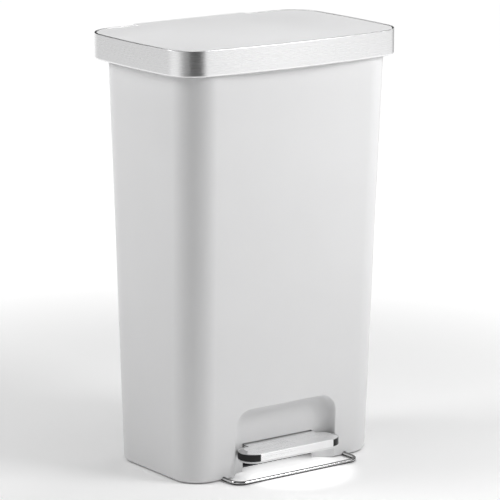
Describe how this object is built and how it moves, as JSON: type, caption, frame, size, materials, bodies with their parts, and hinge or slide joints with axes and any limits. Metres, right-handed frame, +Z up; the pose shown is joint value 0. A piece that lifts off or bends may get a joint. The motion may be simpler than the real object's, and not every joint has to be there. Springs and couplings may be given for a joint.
{
  "type": "pedal trash can",
  "caption": "Tall rectangular trash can: a foot pedal lifts the banded lid on its rear hinge through a lever, push rod and cam, and a damper slows its closing.",
  "frame": {"origin": "on the ground, in the middle of the whole can from left to right and from front to back", "axes": "+X to the right seen from the front, -Y to the front where the pedal is, +Z up"},
  "size_m": [0.4098, 0.2904, 0.655],
  "materials": {
    "body_plastic": "smooth satin white",
    "lid_plastic": "smooth satin white",
    "trim_plastic": "satin white",
    "inner_plastic": "satin light grey",
    "dark_plastic": "fine texture, dark grey",
    "nylon": "natural nylon",
    "rubber": "matt",
    "band_steel": "brushed along the band",
    "pedal_steel": "brushed, left to right",
    "chrome_wire": "polished",
    "zinc_steel": "zinc plated",
    "fastener_steel": "zinc plated"
  },
  "bodies": {
    "can": {"body_shell": "body_plastic", "base_plate": "dark_plastic", "base_plate_screws": "fastener_steel", "foot_front_left": "rubber", "foot_front_right": "rubber", "foot_rear_left": "rubber", "foot_rear_right": "rubber", "stabiliser_wire": "chrome_wire", "wire_retainer_left": "nylon", "wire_retainer_right": "nylon", "wire_retainer_screws": "fastener_steel", "axle_bracket_left": "zinc_steel", "axle_bracket_right": "zinc_steel", "axle_bracket_screws": "fastener_steel", "pedal_axle": "zinc_steel", "axle_clip_left": "fastener_steel", "axle_clip_right": "fastener_steel", "rod_guide_lower": "nylon", "rod_guide_upper": "nylon", "rod_guide_screws": "fastener_steel", "channel_cover": "inner_plastic", "channel_cover_screws": "fastener_steel", "damper_cylinder": "dark_plastic", "damper_cap": "nylon", "damper_bracket": "nylon", "hinge_bracket": "trim_plastic", "hinge_bracket_screws": "fastener_steel", "hinge_pin_left": "zinc_steel", "hinge_pin_right": "zinc_steel", "liner_rim": "inner_plastic"},
    "pedal": {"pedal_lever": "zinc_steel", "axle_bushing_left": "nylon", "axle_bushing_right": "nylon", "lever_nose": "nylon", "pedal_body": "trim_plastic", "pedal_cover": "pedal_steel", "pedal_screws": "fastener_steel"},
    "lifter": {"push_rod": "zinc_steel", "rod_foot": "nylon", "rod_tip": "nylon", "damper_piston": "zinc_steel", "damper_link": "dark_plastic"},
    "lid": {"lid_top_panel": "lid_plastic", "lid_band": "band_steel", "lid_base": "lid_plastic", "lid_hinge_cover": "lid_plastic", "lid_cam_arm": "inner_plastic", "lid_cam_screws": "fastener_steel", "hinge_bushing_left": "nylon", "hinge_bushing_right": "nylon", "lid_screws": "fastener_steel", "lid_bumpers": "rubber"}
  },
  "joints": [
    {"name": "lid_hinge", "type": "hinge", "parent": "can", "child": "lid", "pos_m": [0, 0.13175, 0.624], "axis": [-1, 0, 0], "range_deg": [0, 80]},
    {"name": "push_rod_slide", "type": "slide", "parent": "can", "child": "lifter", "axis": [0, 0.0252, 0.9997], "range_m": [0, 0.03462]},
    {"name": "pedal_pivot", "type": "hinge", "parent": "can", "child": "pedal", "pos_m": [0, -0.04725, 0.034], "axis": [1, 0, 0], "range_deg": [0, 14.21]}
  ],
  "couplings": [
    {"joint": "push_rod_slide", "follows": "lid_hinge", "m_per_rad": 0.024793},
    {"joint": "pedal_pivot", "follows": "lid_hinge", "ratio": 0.1776}
  ]
}
